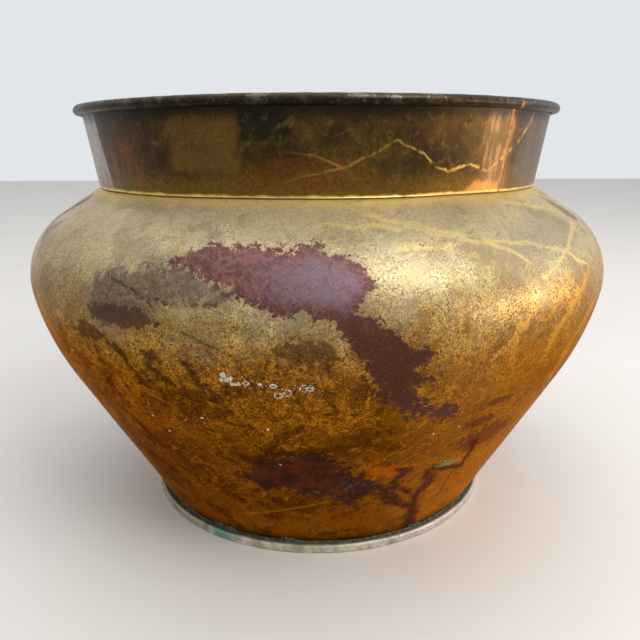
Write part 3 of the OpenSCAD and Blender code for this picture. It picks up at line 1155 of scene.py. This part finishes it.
def on_body(azimuth, height):
    """Point and outward direction on the body's outside, height in millimetres."""
    z = height * MM
    for p, q in zip(BODY_OUTSIDE, BODY_OUTSIDE[1:]):
        if p.y <= z <= q.y:
            point = p.lerp(q, (z - p.y) / (q.y - p.y))
            return warp(at(azimuth, point), 1.0), at(azimuth, -left_of(p, q)).normalized()
    raise ValueError("no point of the body at that height")


def lump(vertices, faces, centre, normal, wide, tall, thick, seed):
    """Adds one flat dry lump that sits on the surface, wide across and tall up."""
    across = up(1).cross(normal).normalized()
    upward = normal.cross(across).normalized()
    rings, spokes = 5, 18
    first = len(vertices)
    for k in range(rings):
        share = (k + 1) / rings
        for s in range(spokes):
            angle = 2 * math.pi * s / spokes
            way = Vector((math.cos(angle), math.sin(angle), 0))
            edge = 1 + 0.45 * noise.noise(way * 1.3 + up(seed))
            x = wide * share * edge * way.x
            y = tall * share * edge * way.y
            rough = 0.75 + 0.6 * noise.noise(Vector((x, y, 0)) * 900 + up(seed))
            rise = thick * math.sqrt(max(0.0, 1 - share ** 2)) * rough - 0.06 * MM
            if k == rings - 1:
                rise = -0.15 * MM
            vertices.append(centre + across * x + upward * y + normal * rise)
    top = len(vertices)
    vertices.append(centre + normal * thick * 0.8)
    bottom = len(vertices)
    vertices.append(centre - normal * TUCK)
    for s in range(spokes):
        t = (s + 1) % spokes
        faces.append((top, first + s, first + t))
        for k in range(rings - 1):
            a = first + k * spokes
            b = a + spokes
            faces.append((a + s, b + s, b + t, a + t))
        last = first + (rings - 1) * spokes
        faces.append((last + s, bottom, last + t))


# Azimuth, then height, half width, half height and thickness in millimetres
LIME_SPECKS = [
    (-13.4, 140.6, 1.8, 1.8, 0.40), (-12.9, 138.2, 2.2, 1.6, 0.45), (-12.1, 136.0, 2.0, 1.4, 0.40),
    (-13.9, 138.0, 1.2, 1.4, 0.30), (-12.3, 139.4, 1.3, 1.0, 0.35), (-11.3, 136.4, 1.4, 1.2, 0.35),
    (-8.2, 136.6, 1.4, 0.9, 0.35), (-46, 136, 0.9, 0.8, 0.3), (-30, 106, 1.0, 0.8, 0.3),
    (-28, 96, 0.8, 1.0, 0.3), (-19, 112, 1.1, 0.8, 0.3), (-8, 108, 0.8, 0.9, 0.3),
    (-7, 81, 0.9, 0.7, 0.3), (21, 98, 0.8, 0.8, 0.3), (26, 100, 0.7, 0.7, 0.3),
    (118, 150, 2.2, 1.6, 0.4), (121, 146, 1.2, 1.4, 0.35), (164, 92, 1.6, 1.2, 0.35),
    (-139, 120, 2.0, 1.3, 0.4), (-134, 117, 1.1, 0.9, 0.3), (-98, 70, 1.3, 1.0, 0.3)]
# Azimuth, height, half width and half height of the rings that drops of water dried to
LIME_RINGS = [(-5.6, 130.6, 1.7, 1.5), (-4.2, 132.2, 1.5, 1.9), (-1.4, 135.0, 3.0, 2.0),
              (-1.0, 134.6, 1.4, 0.9), (-10.2, 137.0, 1.2, 1.0), (-6.2, 136.0, 1.3, 0.9)]
RING_CRUMBS = 11
LOOSE_CRUMBS = 46
# First azimuth, last azimuth and number of the green crumbs above the foot
GREEN_SPELLS = [(-54, -43, 16), (-34, -26, 14), (-12, -6, 6), (28, 33, 7), (70, 82, 16),
                (112, 150, 40), (-150, -118, 36), (178, 196, 18), (-88, -80, 10)]
GREEN_FLECK = [(28.2, 70, 2.4, 1.2, 0.25), (30.2, 68.6, 1.6, 1.0, 0.25), (27, 66.5, 1.2, 0.8, 0.25)]


def make_lumps(name, lumps, seed_step, material, slot):
    """One piece of lumps given as in LIME_SPECKS."""
    vertices = []
    faces = []
    for count, (azimuth, height, wide, tall, thick) in enumerate(lumps):
        centre, normal = on_body(azimuth, height)
        lump(vertices, faces, centre, normal, wide * MM, tall * MM, thick * MM, count * seed_step)
    piece = new_object(name, vertices, faces, [material])
    tidy_mesh(piece)
    mount(piece, slot)


def make_lime(material):
    """White lime specks and rings that hard water has left on the body."""
    crumbs = random.Random(11)
    specks = list(LIME_SPECKS)
    for azimuth, height, wide, tall in LIME_RINGS:
        for k in range(RING_CRUMBS):
            angle = 2 * math.pi * (k + crumbs.uniform(-0.3, 0.3)) / RING_CRUMBS
            specks.append((azimuth + wide * math.cos(angle) / DEGREE,
                           height + tall * math.sin(angle),
                           crumbs.uniform(0.35, 0.8), crumbs.uniform(0.3, 0.6), 0.28))
    for _ in range(LOOSE_CRUMBS):
        along = crumbs.uniform(0, 1)
        azimuth = -14.5 + 15 * along + crumbs.gauss(0, 0.8)
        height = 138 - 4 * along + crumbs.gauss(0, 1.8)
        specks.append((azimuth, height, crumbs.uniform(0.2, 0.5), crumbs.uniform(0.2, 0.4), 0.2))
    make_lumps("lime_specks", specks, 3.7, material, "body_brass")


def make_verdigris(material):
    """Green crust in the crevice above the folded foot, and one fleck on the flank."""
    crumbs = random.Random(23)
    lumps = []
    for low, high, many in GREEN_SPELLS:
        for _ in range(many):
            lumps.append((crumbs.uniform(low, high), crumbs.uniform(6.2, 8.2),
                          crumbs.uniform(0.6, 1.8), crumbs.uniform(0.4, 1.0), 0.5))
    make_lumps("verdigris_crust", lumps + GREEN_FLECK, 2.3, material, "base_brass")


def make_foot_grime(material):
    """Soil and green salts that fill the crevice between the flank and the folded foot."""
    hem = FOLD_X - 2 * LAYER - HALF + TUCK
    bottom = 4.0 * MM
    top = 6.3 * MM
    slope = math.tan(math.radians(FLANK_LEAN))
    swing = (0, 0, 0.3, 0.8, 1.3)  # how much each point of the outline rises and falls

    def flank(height):
        return FLANK_R + (height - FLANK_Z) * slope - TUCK

    outline = [Vector((flank(bottom), bottom)), Vector((hem, bottom)), Vector((hem, 5.1 * MM)),
               Vector(((hem + flank(top)) / 2, 5.3 * MM)), Vector((flank(top), top))]

    def place(spot, i, azimuth):
        way = turn_to(azimuth)
        pile = 0.45 * noise.noise(way * 6) + 0.35 * noise.noise(way * 31)
        pile += 0.2 * noise.noise(way * 90)
        rise = swing[i] * MM * pile
        on_flank = slope if i == len(outline) - 1 else 0
        return warp(spot) + way * rise * on_flank + up(rise)

    piece, _ = spun("foot_grime", outline, 720, [material], place=place)
    mount(piece, "base_brass")


# ---- the studio
POT_MIDDLE = up(0.14)


def make_floor():
    """Plain pale floor."""
    net = Net("pale_floor")
    soft = net.noise(160, 3, 0.5)
    net.tone = net.mix(soft, (214, 210, 204), (222, 219, 214))
    material = net.finish(0.55, 0.0)
    half = 4.0
    corners = [(-half, -half, 0), (half, -half, 0), (half, half, 0), (-half, half, 0)]
    new_object("floor", corners, [(0, 1, 2, 3)], [material])


def area_light(name, place, size, power, tint=(1, 1, 1)):
    """A soft light of that many watts, turned to the middle of the pot."""
    light = bpy.data.lights.new(name, "AREA")
    light.shape = "RECTANGLE"
    light.size = size[0]
    light.size_y = size[1]
    light.energy = power
    light.color = tint
    lamp = bpy.data.objects.new(name, light)
    lamp.location = place
    lamp.visible_camera = False
    lamp.rotation_euler = (POT_MIDDLE - Vector(place)).to_track_quat("-Z", "Y").to_euler()
    bpy.context.scene.collection.objects.link(lamp)


def make_light():
    """A big soft window on the right, a low one beside it, a warm glow from the floor, a ceiling,
    and a pale surround that the camera sees a little brighter than the pot does."""
    area_light("window", (1.0, -1.1, 1.5), (1.0, 1.0), 19)
    area_light("side_window", (1.7, 0.3, 0.62), (0.9, 0.8), 3)
    area_light("floor_glow", (1.2, -0.3, 0.14), (0.9, 0.2), 5, (1.0, 0.76, 0.50))
    area_light("ceiling", (0, 0.1, 2.2), (2.4, 2.4), 20)
    world = bpy.data.worlds.new("surround")
    world.use_nodes = True
    bpy.context.scene.world = world
    tree = world.node_tree
    back = tree.nodes["Background"]
    seen = tree.nodes.new("ShaderNodeBackground")
    either = tree.nodes.new("ShaderNodeMixShader")
    path = tree.nodes.new("ShaderNodeLightPath")
    tree.links.new(path.outputs["Is Camera Ray"], either.inputs[0])
    tree.links.new(back.outputs[0], either.inputs[1])
    tree.links.new(seen.outputs[0], either.inputs[2])
    tree.links.new(either.outputs[0], tree.nodes["World Output"].inputs["Surface"])
    seen.inputs["Color"].default_value = (0.76, 0.79, 0.82, 1)
    back.inputs["Color"].default_value = (0.70, 0.71, 0.73, 1)


CAMERA_AT = (0.0017, -0.468, 0.2462)
LOOK_DOWN = 15.51  # degrees
ROLL = -0.24
LENS = 36  # millimetres, on a sensor as wide


def make_camera():
    """Camera at the photograph's angle: in front of the pot, just under the height of its rim,
    looking down."""
    data = bpy.data.cameras.new("camera")
    data.sensor_width = LENS
    data.lens = LENS
    camera = bpy.data.objects.new("camera", data)
    bpy.context.scene.collection.objects.link(camera)
    pitch = Euler((math.radians(90 - LOOK_DOWN), 0, 0)).to_matrix()
    roll = Euler((0, 0, math.radians(ROLL))).to_matrix()
    camera.matrix_world = Matrix.Translation(CAMERA_AT) @ (pitch @ roll).to_4x4()
    bpy.context.scene.camera = camera


def build():
    inside = inside_brass()
    braze = braze_metal()
    make_body(body_patina(), inside)
    make_collar(neck_patina(), inside, rim_patina())
    make_collar_seam(braze)
    make_wire(rusty_wire())
    make_lap_braze(braze)
    make_base(foot_patina(), inside)
    make_solder(soft_solder())
    make_lime(crust("lime", (128, 118, 100), (176, 168, 150), (214, 208, 194)))
    make_verdigris(crust("verdigris", (34, 44, 30), (66, 92, 76), (112, 148, 130)))
    make_foot_grime(crust("grime", (34, 30, 20), (58, 62, 46), (84, 122, 102)))
    make_floor()
    make_light()
    make_camera()
    bpy.context.scene.view_settings.view_transform = "Standard"


build()
